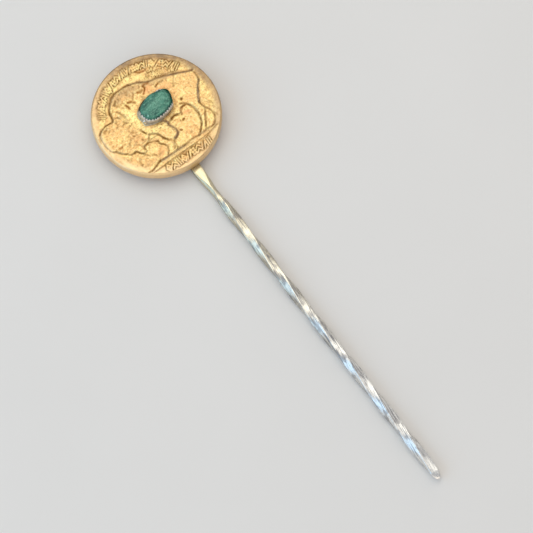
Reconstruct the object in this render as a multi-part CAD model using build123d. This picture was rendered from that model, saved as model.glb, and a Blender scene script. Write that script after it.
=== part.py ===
from build123d import *
import os
from math import atan2, cos, degrees, hypot, radians, sin

# Hat pin: a gilt coin with a green stone in a saw-tooth setting on its face, soldered to the
# flattened end of a twisted square silver wire.
#
# Millimetres. The pin lies face up: +Z is out of the coin's face, and +Y runs from the point
# towards the head. The origin is on the stem's axis, level with the coin's lower edge, where
# the free stem begins.

# Coin: a struck disc, its back hollowed a little inside the rim.
coin_diameter = 21.2
coin_thickness = 1.95
rim_width = 0.9
rim_height = 0.06
back_hollow = 0.12
front_edge_round = 0.6
back_edge_round = 0.35
relief_height = 0.18
mark_height = 0.10
root_depth = 0.1  # how far a raised shape is carried down into the disc under it

# Raised marks in place of an inscription: an arc over the top and a row under the ground line.
arc_marks = 22
arc_mark_radius = 9.0
arc_first_angle = 146
arc_last_angle = 34
row_marks = 9
row_mark_y = -8.85
row_half_width = 3.9
mark_width = 0.42
mark_length = 1.0

# Setting: a base plate, a strip with a saw-tooth edge, and the stone inside it.
setting_x = 0.55
setting_y = 0.70
base_thickness = 0.25
base_margin = 0.08
strip_wall = 0.20
strip_height = 1.0
strip_clearance = 0.03
tooth_count = 34
tooth_depth = 0.16
tooth_overcut = 0.05  # how far the notches' cutters stand over the strip's top
seam_bead_radius = 0.26
seam_bead_inset = 0.05  # how far the bead's axis lies inside the strip's outer face
seam_bead_share = 0.7  # the bead's height as a share of the strip's
foot_solder_width = 0.27
foot_solder_height = 0.2
foot_solder_top = 0.03  # how thick the fillet is where it ends on the base plate's side
stone_girdle = 0.95  # height of the stone's straight side
stone_crown = 0.45
stone_table = 0.70  # the flat top's size as a share of the girdle's

# Stem: flat behind the coin, square and twisted beyond it, with a short blunt point.
shank_width = 1.65
shank_thickness = 1.05
shank_behind_coin = 14.0
flat_below_coin = 3.0
twist_start = 5.6
free_length = 62.5
wire_side = 1.34
wire_corner = 0.07
quarter_turn = 7.7
point_length = 1.7
point_tip_radius = 0.22
point_shoulder = 0.82  # the taper's widest place, as a share of the wire's corner radius
point_cut_start = 1.2  # where the cut that makes the point begins, as a share of its length
point_cut_reach = 1.05  # the cut's widest radius, as a share of the wire's corner radius
stem_solder_width = 0.75
stem_solder_drop = 0.55
stem_solder_start = 0.4  # its distance from the rim of the coin's back
stem_solder_margin = 0.6  # how far it runs past the end of the shank

coin_radius = coin_diameter / 2
coin_back_z = shank_thickness / 2
coin_front_z = coin_back_z + coin_thickness
field_z = coin_front_z - rim_height
seat_z = field_z + relief_height
base_top_z = seat_z + base_thickness
back_field_z = coin_back_z + back_hollow

# The stone's plan about its own centre: an uneven rounded six-sided oval. The strip round the
# stone closes at the last point.
stone_plan = [
    (-2.92, 0.20), (-2.35, 1.15), (-1.05, 1.80), (0.60, 1.98), (2.20, 1.78), (2.96, 1.05),
    (2.78, -0.25), (2.20, -1.45), (0.80, -1.97), (-0.90, -2.12), (-2.10, -1.76), (-2.68, -1.10),
]

# The bison's outline about the coin's centre, facing left, from the muzzle over the back.
bison_body = [
    (-9.5, -1.2), (-9.6, 0.8), (-9.1, 2.3), (-7.7, 3.1), (-6.5, 3.0), (-6.1, 4.6),
    (-4.8, 6.1), (-2.6, 6.85), (-0.4, 6.5), (1.8, 5.4), (5.0, 4.4), (7.6, 3.3),
    (8.9, 2.0), (8.3, 0.2), (7.0, -1.6), (5.2, -1.9), (3.8, -1.6), (2.2, -2.1),
    (0.6, -2.6), (0.7, -4.4), (-0.4, -5.2), (-1.7, -3.6), (-3.2, -2.6), (-4.5, -3.6),
    (-5.2, -5.2), (-6.4, -3.6), (-8.3, -2.4),
]
bison_legs = [
    [(-1.7, -3.3), (0.4, -4.6), (-0.4, -5.6), (-0.6, -7.1), (-1.9, -7.1), (-1.3, -5.6)],
    [(-4.5, -3.2), (-2.4, -3.8), (-1.9, -5.4), (-2.5, -7.1), (-3.8, -7.1), (-3.0, -5.4)],
    [(4.2, -1.4), (7.1, -1.3), (6.8, -3.2), (6.1, -5.4), (5.3, -7.1), (3.3, -7.1), (5.2, -4.6)],
    [(6.5, -2.6), (7.0, -3.6), (7.3, -5.4), (6.7, -7.1), (5.6, -7.1), (6.0, -5.2)],
]
bison_tail = [(8.9, 1.8), (8.5, -0.6), (8.9, -2.6), (8.4, -4.2), (8.0, -2.6), (8.1, -0.4)]
ground_line = [(-6.8, -7.5), (-4.6, -7.0), (6.4, -7.0), (6.6, -7.4), (0.0, -7.6), (-6.6, -7.75)]


def grown(points, amount):
    """The closed outline moved outwards by amount along its normals."""
    moved = []
    for index, (x, y) in enumerate(points):
        before = points[index - 1]
        after = points[(index + 1) % len(points)]
        along_x = after[0] - before[0]
        along_y = after[1] - before[1]
        length = hypot(along_x, along_y)
        moved.append((x - amount * along_y / length, y + amount * along_x / length))
    return moved


def setting_outline(amount, scale=1.0):
    """The stone's plan grown by amount and scaled about its centre, as a closed curve."""
    points = [(x * scale, y * scale) for x, y in grown(stone_plan, amount)]
    return Spline(*points, periodic=True)


def setting_slab(amount, low, high):
    """A slab with the stone's plan grown by amount, between two heights over the origin."""
    face = make_face(setting_outline(amount))
    place = Location((setting_x, coin_radius + setting_y, low))
    return place * extrude(face, high - low)


def on_coin(shape, height):
    """A flat shape drawn about the coin's centre, moved there at a height over the origin."""
    return Location((0, coin_radius, height)) * shape


def raised(face, height):
    """A flat shape about the coin's centre raised by height over the coin's field."""
    return extrude(on_coin(face, field_z - root_depth), height + root_depth)


def bison():
    """The animal and the ground under it, as one raised shape."""
    flat = make_face(Spline(*bison_body, periodic=True))
    for outline in bison_legs + [bison_tail, ground_line]:
        flat += make_face(Polyline(*outline, close=True))
    return raised(flat, relief_height)


def marks():
    """The raised bars over the top and under the ground line."""
    bar = Rectangle(mark_width, mark_length)
    flat = []
    step = (arc_last_angle - arc_first_angle) / (arc_marks - 1)
    for index in range(arc_marks):
        angle = arc_first_angle + index * step
        x = arc_mark_radius * cos(radians(angle))
        y = arc_mark_radius * sin(radians(angle))
        flat.append(Location((x, y, 0), (0, 0, angle - 90)) * bar)
    pitch = 2 * row_half_width / (row_marks - 1)
    for index in range(row_marks):
        flat.append(Location((index * pitch - row_half_width, row_mark_y, 0)) * bar)
    return [raised(face, mark_height) for face in flat]


def coin():
    disc = extrude(on_coin(Circle(coin_radius), coin_back_z), coin_thickness)
    disc = fillet(disc.edges().sort_by(Axis.Z)[-1], front_edge_round)
    disc = fillet(disc.edges().sort_by(Axis.Z)[0], back_edge_round)
    inside_rim = Circle(coin_radius - rim_width)
    disc -= extrude(on_coin(inside_rim, field_z), rim_height)
    disc -= extrude(on_coin(inside_rim, coin_back_z), back_hollow)
    picture = bison() & extrude(on_coin(inside_rim, field_z - root_depth), coin_thickness)
    return disc + picture + marks()


def bezel_base():
    return setting_slab(strip_clearance + strip_wall + base_margin, seat_z, base_top_z)


def bezel_strip():
    """The upright strip, its top edge cut into teeth by V notches across the wall."""
    inner = strip_clearance
    outer = strip_clearance + strip_wall
    top_z = base_top_z + strip_height
    wall = setting_slab(outer, base_top_z, top_z) - setting_slab(inner, base_top_z, top_z)
    middle = setting_outline((inner + outer) / 2)
    pitch = middle.length / tooth_count
    bottom = (0, -tooth_depth)
    notch = make_face(Polyline(bottom, (pitch / 2, tooth_overcut), (-pitch / 2, tooth_overcut), close=True))
    for index in range(tooth_count):
        share = index / tooth_count
        spot = middle @ share
        along = middle % share
        turn = degrees(atan2(along.Y, along.X))
        place = Location((setting_x + spot.X, coin_radius + setting_y + spot.Y, top_z), (0, 0, turn))
        cutter = extrude(Plane.XZ * notch, 2 * strip_wall, both=True)
        wall -= place * cutter
    return wall


def seam_solder():
    """The bead over the strip's joint, at the corner of the setting nearest the chin."""
    outer = strip_clearance + strip_wall
    joint_x, joint_y = grown(stone_plan, outer - seam_bead_inset)[-1]
    place = Location((setting_x + joint_x, coin_radius + setting_y + joint_y, base_top_z))
    upright = (Align.CENTER, Align.CENTER, Align.MIN)
    bead = place * Cylinder(seam_bead_radius, strip_height * seam_bead_share, align=upright)
    return bead - setting_slab(outer, base_top_z, base_top_z + strip_height)


def bezel_solder():
    """The sloping fillet round the foot of the base plate."""
    foot = strip_clearance + strip_wall + base_margin
    low = make_face(setting_outline(foot + foot_solder_width))
    top = make_face(setting_outline(foot + foot_solder_top))
    high = Location((0, 0, foot_solder_height)) * top
    place = Location((setting_x, coin_radius + setting_y, seat_z))
    return place * loft([low, high]) - setting_slab(foot, seat_z, base_top_z)


def stone():
    girdle = make_face(setting_outline(0))
    table = Location((0, 0, stone_girdle + stone_crown)) * make_face(setting_outline(0, stone_table))
    crown = loft([Location((0, 0, stone_girdle)) * girdle, table])
    place = Location((setting_x, coin_radius + setting_y, base_top_z))
    return place * (extrude(girdle, stone_girdle) + crown)


def across(face, y):
    """A section drawn in the stem's cross plane, set at a place along the stem."""
    return Plane(origin=(0, y, 0), x_dir=(1, 0, 0), z_dir=(0, -1, 0)) * face


def stem():
    """The flat shank, its waist, the twisted square wire and the point, as one wire."""
    flat = Rectangle(shank_width, shank_thickness)
    square = fillet(Rectangle(wire_side, wire_side).vertices(), wire_corner)
    shank = extrude(across(flat, shank_behind_coin), shank_behind_coin + flat_below_coin)
    waist_end = Rectangle(wire_side, wire_side)
    waist = loft([across(flat, -flat_below_coin), across(waist_end, -twist_start)])
    length = free_length - twist_start
    turned = 90 * length / quarter_turn
    start = (0, -twist_start, 0)
    twisted = Solid.extrude_linear_with_rotation(
        across(square, -twist_start).face(), start, (0, -length, 0), turned
    )
    return shank + waist + (twisted & point_envelope())


def point_envelope():
    """A round bar over the whole twist, turned down at its end to the blunt point."""
    corner = hypot(wire_side, wire_side) / 2
    reach = corner * point_cut_reach
    start = -twist_start / 2
    tip = -free_length
    outline = [
        (0, start),
        (reach, start),
        (reach, tip + point_length * point_cut_start),
        (corner * point_shoulder, tip + point_length),
        (point_tip_radius * 2, tip + point_tip_radius),
        (point_tip_radius, tip),
        (0, tip),
    ]
    return revolve(make_face(Polyline(*outline, close=True)), Axis.Y)


def stem_solder():
    """The solder between the shank and the hollow back, with a slope along each side."""
    low_z = back_field_z - stem_solder_drop
    near = shank_width / 2
    far = near + stem_solder_width
    corners = [(-far, back_field_z), (far, back_field_z), (near, low_z), (-near, low_z)]
    section = make_face(Polyline(*corners, close=True))
    start = rim_width + stem_solder_start
    end = shank_behind_coin + stem_solder_margin
    bed = extrude(across(section, end), end - start)
    shank = extrude(across(Rectangle(shank_width, shank_thickness), shank_behind_coin), shank_behind_coin)
    return bed - shank


os.makedirs("parts", exist_ok=True)
pieces = {
    "coin": coin,
    "bezel_base": bezel_base,
    "bezel_strip": bezel_strip,
    "seam_solder": seam_solder,
    "bezel_solder": bezel_solder,
    "stone": stone,
    "stem": stem,
    "stem_solder": stem_solder,
}
for name, make in pieces.items():
    export_step(make(), f"parts/{name}.step")
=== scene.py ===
from math import cos, pi, radians, sin, tau

import bpy
import numpy as np
from mathutils import Matrix, Vector


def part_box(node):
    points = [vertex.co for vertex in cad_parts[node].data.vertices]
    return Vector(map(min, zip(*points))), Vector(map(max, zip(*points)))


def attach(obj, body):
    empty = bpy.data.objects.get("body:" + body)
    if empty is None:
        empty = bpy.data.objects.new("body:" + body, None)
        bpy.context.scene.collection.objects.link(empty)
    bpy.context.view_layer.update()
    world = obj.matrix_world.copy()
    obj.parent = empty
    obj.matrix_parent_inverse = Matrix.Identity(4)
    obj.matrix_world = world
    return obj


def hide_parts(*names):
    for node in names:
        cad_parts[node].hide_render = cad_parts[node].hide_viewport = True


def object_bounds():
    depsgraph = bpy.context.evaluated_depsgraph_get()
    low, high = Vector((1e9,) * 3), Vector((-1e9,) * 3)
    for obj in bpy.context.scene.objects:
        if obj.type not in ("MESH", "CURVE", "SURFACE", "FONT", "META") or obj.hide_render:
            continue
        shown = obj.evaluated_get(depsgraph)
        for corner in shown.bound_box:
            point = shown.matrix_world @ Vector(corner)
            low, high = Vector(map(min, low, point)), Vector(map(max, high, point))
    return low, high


# A hat pin: a gilt coin with a bison in relief, a green stone in a saw-tooth setting on its
# face, and a twisted square silver stem soldered behind it. Lengths here are millimetres and
# become metres when a mesh is made. Shapes on the coin are drawn about the coin's centre.

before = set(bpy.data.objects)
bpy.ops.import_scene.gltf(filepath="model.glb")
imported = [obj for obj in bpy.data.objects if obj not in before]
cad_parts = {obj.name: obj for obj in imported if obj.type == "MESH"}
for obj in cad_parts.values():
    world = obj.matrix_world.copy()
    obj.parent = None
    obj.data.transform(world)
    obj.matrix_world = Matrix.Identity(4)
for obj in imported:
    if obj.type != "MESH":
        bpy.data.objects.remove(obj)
cad_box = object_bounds()

MM = 0.001


def box_mm(node):
    low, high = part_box(node)
    return low / MM, high / MM


# ---- places, from the frame

coin_low, coin_high = box_mm("coin")
COIN_RADIUS = (coin_high.x - coin_low.x) / 2
COIN_Y = (coin_high.y + coin_low.y) / 2
BACK_Z = coin_low.z
SEAT_Z = box_mm("bezel_base")[0].z
BASE_TOP_Z = box_mm("bezel_base")[1].z
STRIP_TOP_Z = box_mm("bezel_strip")[1].z
STONE_TOP_Z = box_mm("stone")[1].z
stem_low, stem_high = box_mm("stem")
TIP_Y = stem_low.y
SHANK_END_Y = stem_high.y
solder_low, solder_high = box_mm("stem_solder")

# ---- driving dimensions

RELIEF = 0.18  # the seat's height over the coin's field
FIELD_Z = SEAT_Z - RELIEF
RIM_RISE = 0.06
FRONT_Z = FIELD_Z + RIM_RISE
ANIMAL_RISE = 0.11
CREASE_DEPTH = 0.055
RELIEF_SOFTNESS = 0.035  # the blur that rounds the struck forms
FRONT_ROUND = 0.35  # how far in, and how far down, the front's rounded edge reaches
EDGE_DROP = 0.45
FLAT_RADIUS = COIN_RADIUS - FRONT_ROUND
BACK_ROUND = 0.35
BACK_RIM = 0.9
BACK_HOLLOW = 0.12
COIN_CELLS = 250  # quads across the coin's front

TOP_MARKS = 23  # ornaments round the top: how many, how far out, and over which angles
TOP_REACH = 8.85
TOP_FIRST, TOP_SWEEP = 147, 113
LOWER_MARKS = 9  # ornaments in the row under the ground: how many, where, and how far apart
LOWER_START, LOWER_Y = -3.8, -8.92
LOWER_PITCH = 0.96

SETTING = np.array((0.55, 0.70))  # the stone's centre, from the coin's
STONE_PLAN = [
    (-2.92, 0.20), (-2.35, 1.15), (-1.05, 1.80), (0.60, 1.98), (2.20, 1.78), (2.96, 1.05),
    (2.78, -0.25), (2.20, -1.45), (0.80, -1.97), (-0.90, -2.12), (-2.10, -1.76), (-2.68, -1.10),
]
STRIP_GAP = 0.03  # between the stone and the strip
STRIP_WALL = 0.20
STRIP_LEAN = 0.24  # how far the teeth lean in over the stone
TEETH = 34
TOOTH_DEPTH = 0.26
FAR_EDGE_DROP = 0.42  # how much lower the strip stands where its teeth don't close
STRIP_STATIONS = 720
BASE_STATIONS = 360
STONE_STATIONS = 240
STONE_LIP = 0.16  # how far its far edge overhangs the strip
STONE_LOW_Z = BASE_TOP_Z + 0.02
STONE_RISE = STONE_TOP_Z - 0.01 - STONE_LOW_Z
FACET_SOFTNESS = 0.012  # how far the edges between facets are rounded

SHANK_WIDTH = 1.65
SHANK_THICKNESS = 1.05
WIRE_SIDE = 1.34
NECK_THINNING = 0.07  # how much less the wire's side is next to the coin
WAIST = 0.10  # how far each side is drawn in where the twist starts
CORNER_CUT = 0.10  # how far the wire's corners are worn back
TWIST_START = 5.2  # from the coin's lower edge
QUARTER_TURN = 8.3  # wire length to a quarter turn at the start of the twist
TIGHTENING = 0.0082  # how much the twist quickens towards the point
POINT_LENGTH = 1.35
POINT_FULLNESS = 0.38  # the power its width falls with: 0.5 would be round, less is blunter
AROUND_STEM = 32

rng = np.random.default_rng(11)


# ---- curves and mesh helpers


def smooth_path(points, closed=False, steps=8):
    """A Catmull-Rom curve through given points."""
    p = np.array(points, float)
    n = len(p)
    spans = n if closed else n - 1
    if closed:
        before, after, last = np.roll(p, 1, 0), np.roll(p, -1, 0), np.roll(p, -2, 0)
    else:
        padded = np.vstack([2 * p[0] - p[1], p, 2 * p[-1] - p[-2]])
        before, p, after, last = padded[:-3], padded[1:-2], padded[2:-1], padded[3:]
    out = []
    for k in range(spans):
        a, b, c, d = before[k], p[k], after[k], last[k]
        for t in np.arange(steps) / steps:
            out.append(0.5 * (2 * b + (c - a) * t + (2 * a - 5 * b + 4 * c - d) * t**2
                              + (3 * b - a - 3 * c + d) * t**3))
    if not closed:
        out.append(after[-1])
    return np.array(out)


def loop_normals(loop):
    """Outward unit normals of a closed loop that runs clockwise seen from above."""
    along = np.roll(loop, -1, 0) - np.roll(loop, 1, 0)
    along /= np.linalg.norm(along, axis=1)[:, None]
    return np.stack([-along[:, 1], along[:, 0]], 1)


def even_loop(loop, count):
    """The same closed loop in count equal steps."""
    ends = np.vstack([loop, loop[:1]])
    run = np.concatenate([[0], np.cumsum(np.linalg.norm(np.diff(ends, axis=0), axis=1))])
    want = np.arange(count) / count * run[-1]
    return np.stack([np.interp(want, run, ends[:, k]) for k in (0, 1)], 1)


def wobble(count, waves, seed):
    """A gentle uneven run round a closed loop, from -1 to 1."""
    random = np.random.default_rng(seed)
    t = np.arange(count) / count * tau
    out = np.zeros(count)
    for wave in waves:
        out += np.sin(wave * t + random.uniform(0, tau)) * random.uniform(0.5, 1) / len(waves)
    return out


def rise(low, high, x):
    """0 below low, 1 above high, smooth between."""
    t = np.clip((x - low) / (high - low), 0, 1)
    return t * t * (3 - 2 * t)


def piece(name, verts, faces, material, node, sharp=35.0):
    """A mesh piece in metres, shaded smooth but for edges sharper than an angle in degrees."""
    mesh = bpy.data.meshes.new(name)
    mesh.from_pydata((np.array(verts, float) * MM).tolist(), [], faces)
    mesh.validate()
    mesh.shade_smooth()
    if sharp:
        mesh.set_sharp_from_angle(angle=radians(sharp))
    obj = bpy.data.objects.new(name, mesh)
    bpy.context.scene.collection.objects.link(obj)
    mesh.materials.append(material)
    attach(obj, "root")
    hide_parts(node)
    return obj


def store(obj, layers):
    """Values at the mesh's points, by name, for the material to read."""
    for name, values in layers.items():
        spread = np.asarray(values).astype(np.float32)
        obj.data.attributes.new(name, "FLOAT", "POINT").data.foreach_set("value", spread)


def ring_faces(rings, count, close_rings=False, flip=False):
    """Quads between rings of count points each, numbered ring by ring."""
    faces = []
    spans = rings if close_rings else rings - 1
    for r in range(spans):
        a, b = r * count, ((r + 1) % rings) * count
        for k in range(count):
            m = (k + 1) % count
            quad = (a + k, a + m, b + m, b + k)
            faces.append(quad[::-1] if flip else quad)
    return faces


def lid(first, count, flip=False):
    """One face over a ring of count points."""
    ring = tuple(range(first, first + count))
    return ring[::-1] if flip else ring


def fan(first, count, tip):
    """Triangles from a ring of count points to one more point."""
    return [(first + k, first + (k + 1) % count, tip) for k in range(count)]


# ---- the coin's relief

STEP = 0.04
HALF = 10.8
line = np.arange(-HALF, HALF + STEP / 2, STEP)
X, Y = np.meshgrid(line, line)
R = np.hypot(X, Y)


def blur(field, sigma):
    """A Gaussian blur, sigma in millimetres."""
    fy = np.fft.fftfreq(field.shape[0], STEP)[:, None]
    fx = np.fft.rfftfreq(field.shape[1], STEP)[None, :]
    soft = np.exp(-2 * (pi * sigma) ** 2 * (fx**2 + fy**2))
    return np.fft.irfft2(np.fft.rfft2(field) * soft, s=field.shape)


def grain(sigma):
    """Seeded noise with lumps of one size and unit spread."""
    field = blur(rng.standard_normal(X.shape), sigma)
    return field / field.std()


def window(points, margin):
    """The part of the raster that lies near some points."""
    p = np.array(points, float)
    low = np.clip(((p.min(0) - margin + HALF) / STEP).astype(int), 0, len(line) - 1)
    high = np.clip(((p.max(0) + margin + HALF) / STEP).astype(int) + 2, 1, len(line))
    return slice(low[1], high[1]), slice(low[0], high[0])


def nearest(start, end, x, y):
    """How far along a segment points lie, from 0 to 1, and the square of their distance to it."""
    (ax, ay), (bx, by) = start, end
    dx, dy = bx - ax, by - ay
    t = np.clip(((x - ax) * dx + (y - ay) * dy) / (dx * dx + dy * dy + 1e-12), 0, 1)
    return t, (x - ax - t * dx) ** 2 + (y - ay - t * dy) ** 2


def distance(path, where, closed=False):
    """Distance from the raster's points in a window to a path."""
    best = np.full(X[where].shape, 1e9)
    ends = np.roll(path, -1, 0) if closed else path[1:]
    for start, end in zip(path[: len(ends)], ends):
        best = np.minimum(best, nearest(start, end, X[where], Y[where])[1])
    return np.sqrt(best)


def inside(path, where):
    """Whether the raster's points in a window are inside a closed path."""
    x, y = X[where], Y[where]
    odd = np.zeros(x.shape, bool)
    for (ax, ay), (bx, by) in zip(path, np.roll(path, -1, 0)):
        if ay != by:
            odd ^= ((ay > y) != (by > y)) & (x < (bx - ax) * (y - ay) / (by - ay) + ax)
    return odd


def turned(x, y, turn, where=...):
    """The raster's points in a window, measured from (x, y) along axes turned by degrees."""
    c, s = cos(radians(turn)), sin(radians(turn))
    return (X[where] - x) * c + (Y[where] - y) * s, -(X[where] - x) * s + (Y[where] - y) * c


def form(points, height, shoulder, crown=0.0):
    """A raised shape with a rounded shoulder and a low crown, as a layer over the field."""
    path = smooth_path(points, closed=True)
    where = window(path, 0.2)
    depth = np.where(inside(path, where), distance(path, where, closed=True), 0)
    t = np.clip(depth / shoulder, 0, 1)
    layer = np.zeros(X.shape)
    swell = 1 - np.exp(-depth / 1.2)
    layer[where] = height * np.sqrt(1 - (1 - t) ** 2) + crown * swell * (t > 0)
    return layer


def limb(points, widths, height):
    """A raised rounded bar that follows points and changes width along them."""
    path = smooth_path(points, steps=6)
    spread = np.interp(np.linspace(0, 1, len(path)), np.linspace(0, 1, len(widths)), widths)
    where = window(path, max(widths))
    best = np.zeros(X[where].shape)
    for k in range(len(path) - 1):
        t, squared = nearest(path[k], path[k + 1], X[where], Y[where])
        width = spread[k] + t * (spread[k + 1] - spread[k])
        best = np.maximum(best, np.sqrt(np.clip(1 - squared / width**2, 0, 1)))
    layer = np.zeros(X.shape)
    layer[where] = height * best
    return layer


def mound(x, y, a, b, turn, height, power=1.0):
    """A soft oval swelling of half length a and half width b."""
    u, v = turned(x, y, turn)
    return height * np.clip(1 - (u / a) ** 2 - (v / b) ** 2, 0, 1) ** power


def tufts(count, points, length, width, height, lean, spread=35):
    """Short curly locks scattered inside an outline, lying roughly one way."""
    path = smooth_path(points, closed=True)
    low, high = path.min(0), path.max(0)
    layer = np.zeros(X.shape)
    made = 0
    while made < count:
        x, y = rng.uniform(low, high)
        where = window([(x, y)], length)
        centre = tuple(int(round((v + HALF) / STEP)) for v in (y, x))
        tiny = (slice(centre[0], centre[0] + 1), slice(centre[1], centre[1] + 1))
        if not inside(path, tiny).any():
            continue
        made += 1
        u, v = turned(x, y, lean + rng.normal(0, spread), where)
        v = v + rng.uniform(-1.4, 1.4) * u * u
        size = rng.uniform(0.6, 1.2)
        lock = np.exp(-((u / (0.5 * length * size)) ** 4) - (v / (width * size)) ** 2)
        layer[where] += height * size * rng.choice([1, 1, -0.9]) * lock
    return layer


# The animal faces left. BODY runs from its muzzle over its back; the others are parts of it.
BODY = [
    (-9.5, -1.4), (-9.8, 0.2), (-9.6, 1.8), (-9.0, 2.65), (-7.8, 3.05), (-6.55, 2.95),
    (-6.2, 3.7), (-6.05, 4.6), (-5.2, 5.6), (-4.1, 6.55), (-2.6, 6.88), (-1.0, 6.75),
    (0.5, 6.25), (2.0, 5.35), (3.6, 4.9), (5.4, 4.3), (7.2, 3.5), (8.75, 2.75), (9.05, 1.9),
    (8.85, 0.6), (8.0, -0.45), (7.0, -1.95), (6.7, -2.6), (6.0, -2.4), (5.1, -2.0),
    (4.5, -1.55), (3.8, -1.65), (3.3, -2.3), (2.4, -2.15), (1.5, -2.25), (0.5, -2.6),
    (0.55, -3.1), (0.95, -4.1), (0.8, -4.8), (0.2, -5.25), (-0.6, -5.0), (-1.1, -4.7),
    (-1.6, -3.9), (-1.85, -3.15), (-3.0, -2.4), (-3.9, -3.3), (-4.9, -3.55), (-5.0, -4.4),
    (-5.7, -4.5), (-6.1, -3.95), (-6.6, -3.5), (-7.5, -3.4), (-8.2, -2.7), (-8.9, -1.8),
]
HEAD = [
    (-9.4, -1.3), (-9.7, 0.3), (-9.45, 1.6), (-8.6, 2.6), (-7.5, 2.95), (-6.5, 2.7),
    (-5.8, 2.0), (-5.5, 0.8), (-5.7, -0.5), (-6.4, -1.6), (-7.5, -2.2), (-8.7, -1.9),
]
CHEST = [
    (-5.9, 2.4), (-4.7, 3.5), (-3.9, 2.4), (-4.2, 0.4), (-4.0, -1.4), (-4.3, -2.9),
    (-5.6, -3.4), (-6.6, -3.0), (-6.2, -1.6), (-5.5, -0.2), (-5.3, 1.4),
]
HUMP = [
    (-5.9, 3.9), (-5.6, 4.9), (-4.5, 6.1), (-2.6, 6.5), (-0.6, 6.2), (0.8, 5.5),
    (-0.6, 4.9), (-2.4, 4.3), (-4.2, 4.0),
]
CHAPS = [
    (-2.8, -1.4), (-1.2, -1.9), (0.1, -2.2), (0.4, -3.2), (0.7, -4.3), (0.1, -5.0),
    (-0.7, -4.7), (-1.5, -3.4), (-2.2, -2.5),
]
HIND = [
    (3.9, -1.2), (5.0, -1.5), (5.5, -3.0), (5.45, -4.3), (4.9, -5.6), (3.6, -7.0), (4.9, -7.05),
    (5.4, -6.3), (6.1, -5.0), (6.85, -3.9), (6.75, -2.7), (7.9, -0.6), (7.0, 1.0), (5.0, 0.6),
]
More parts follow.
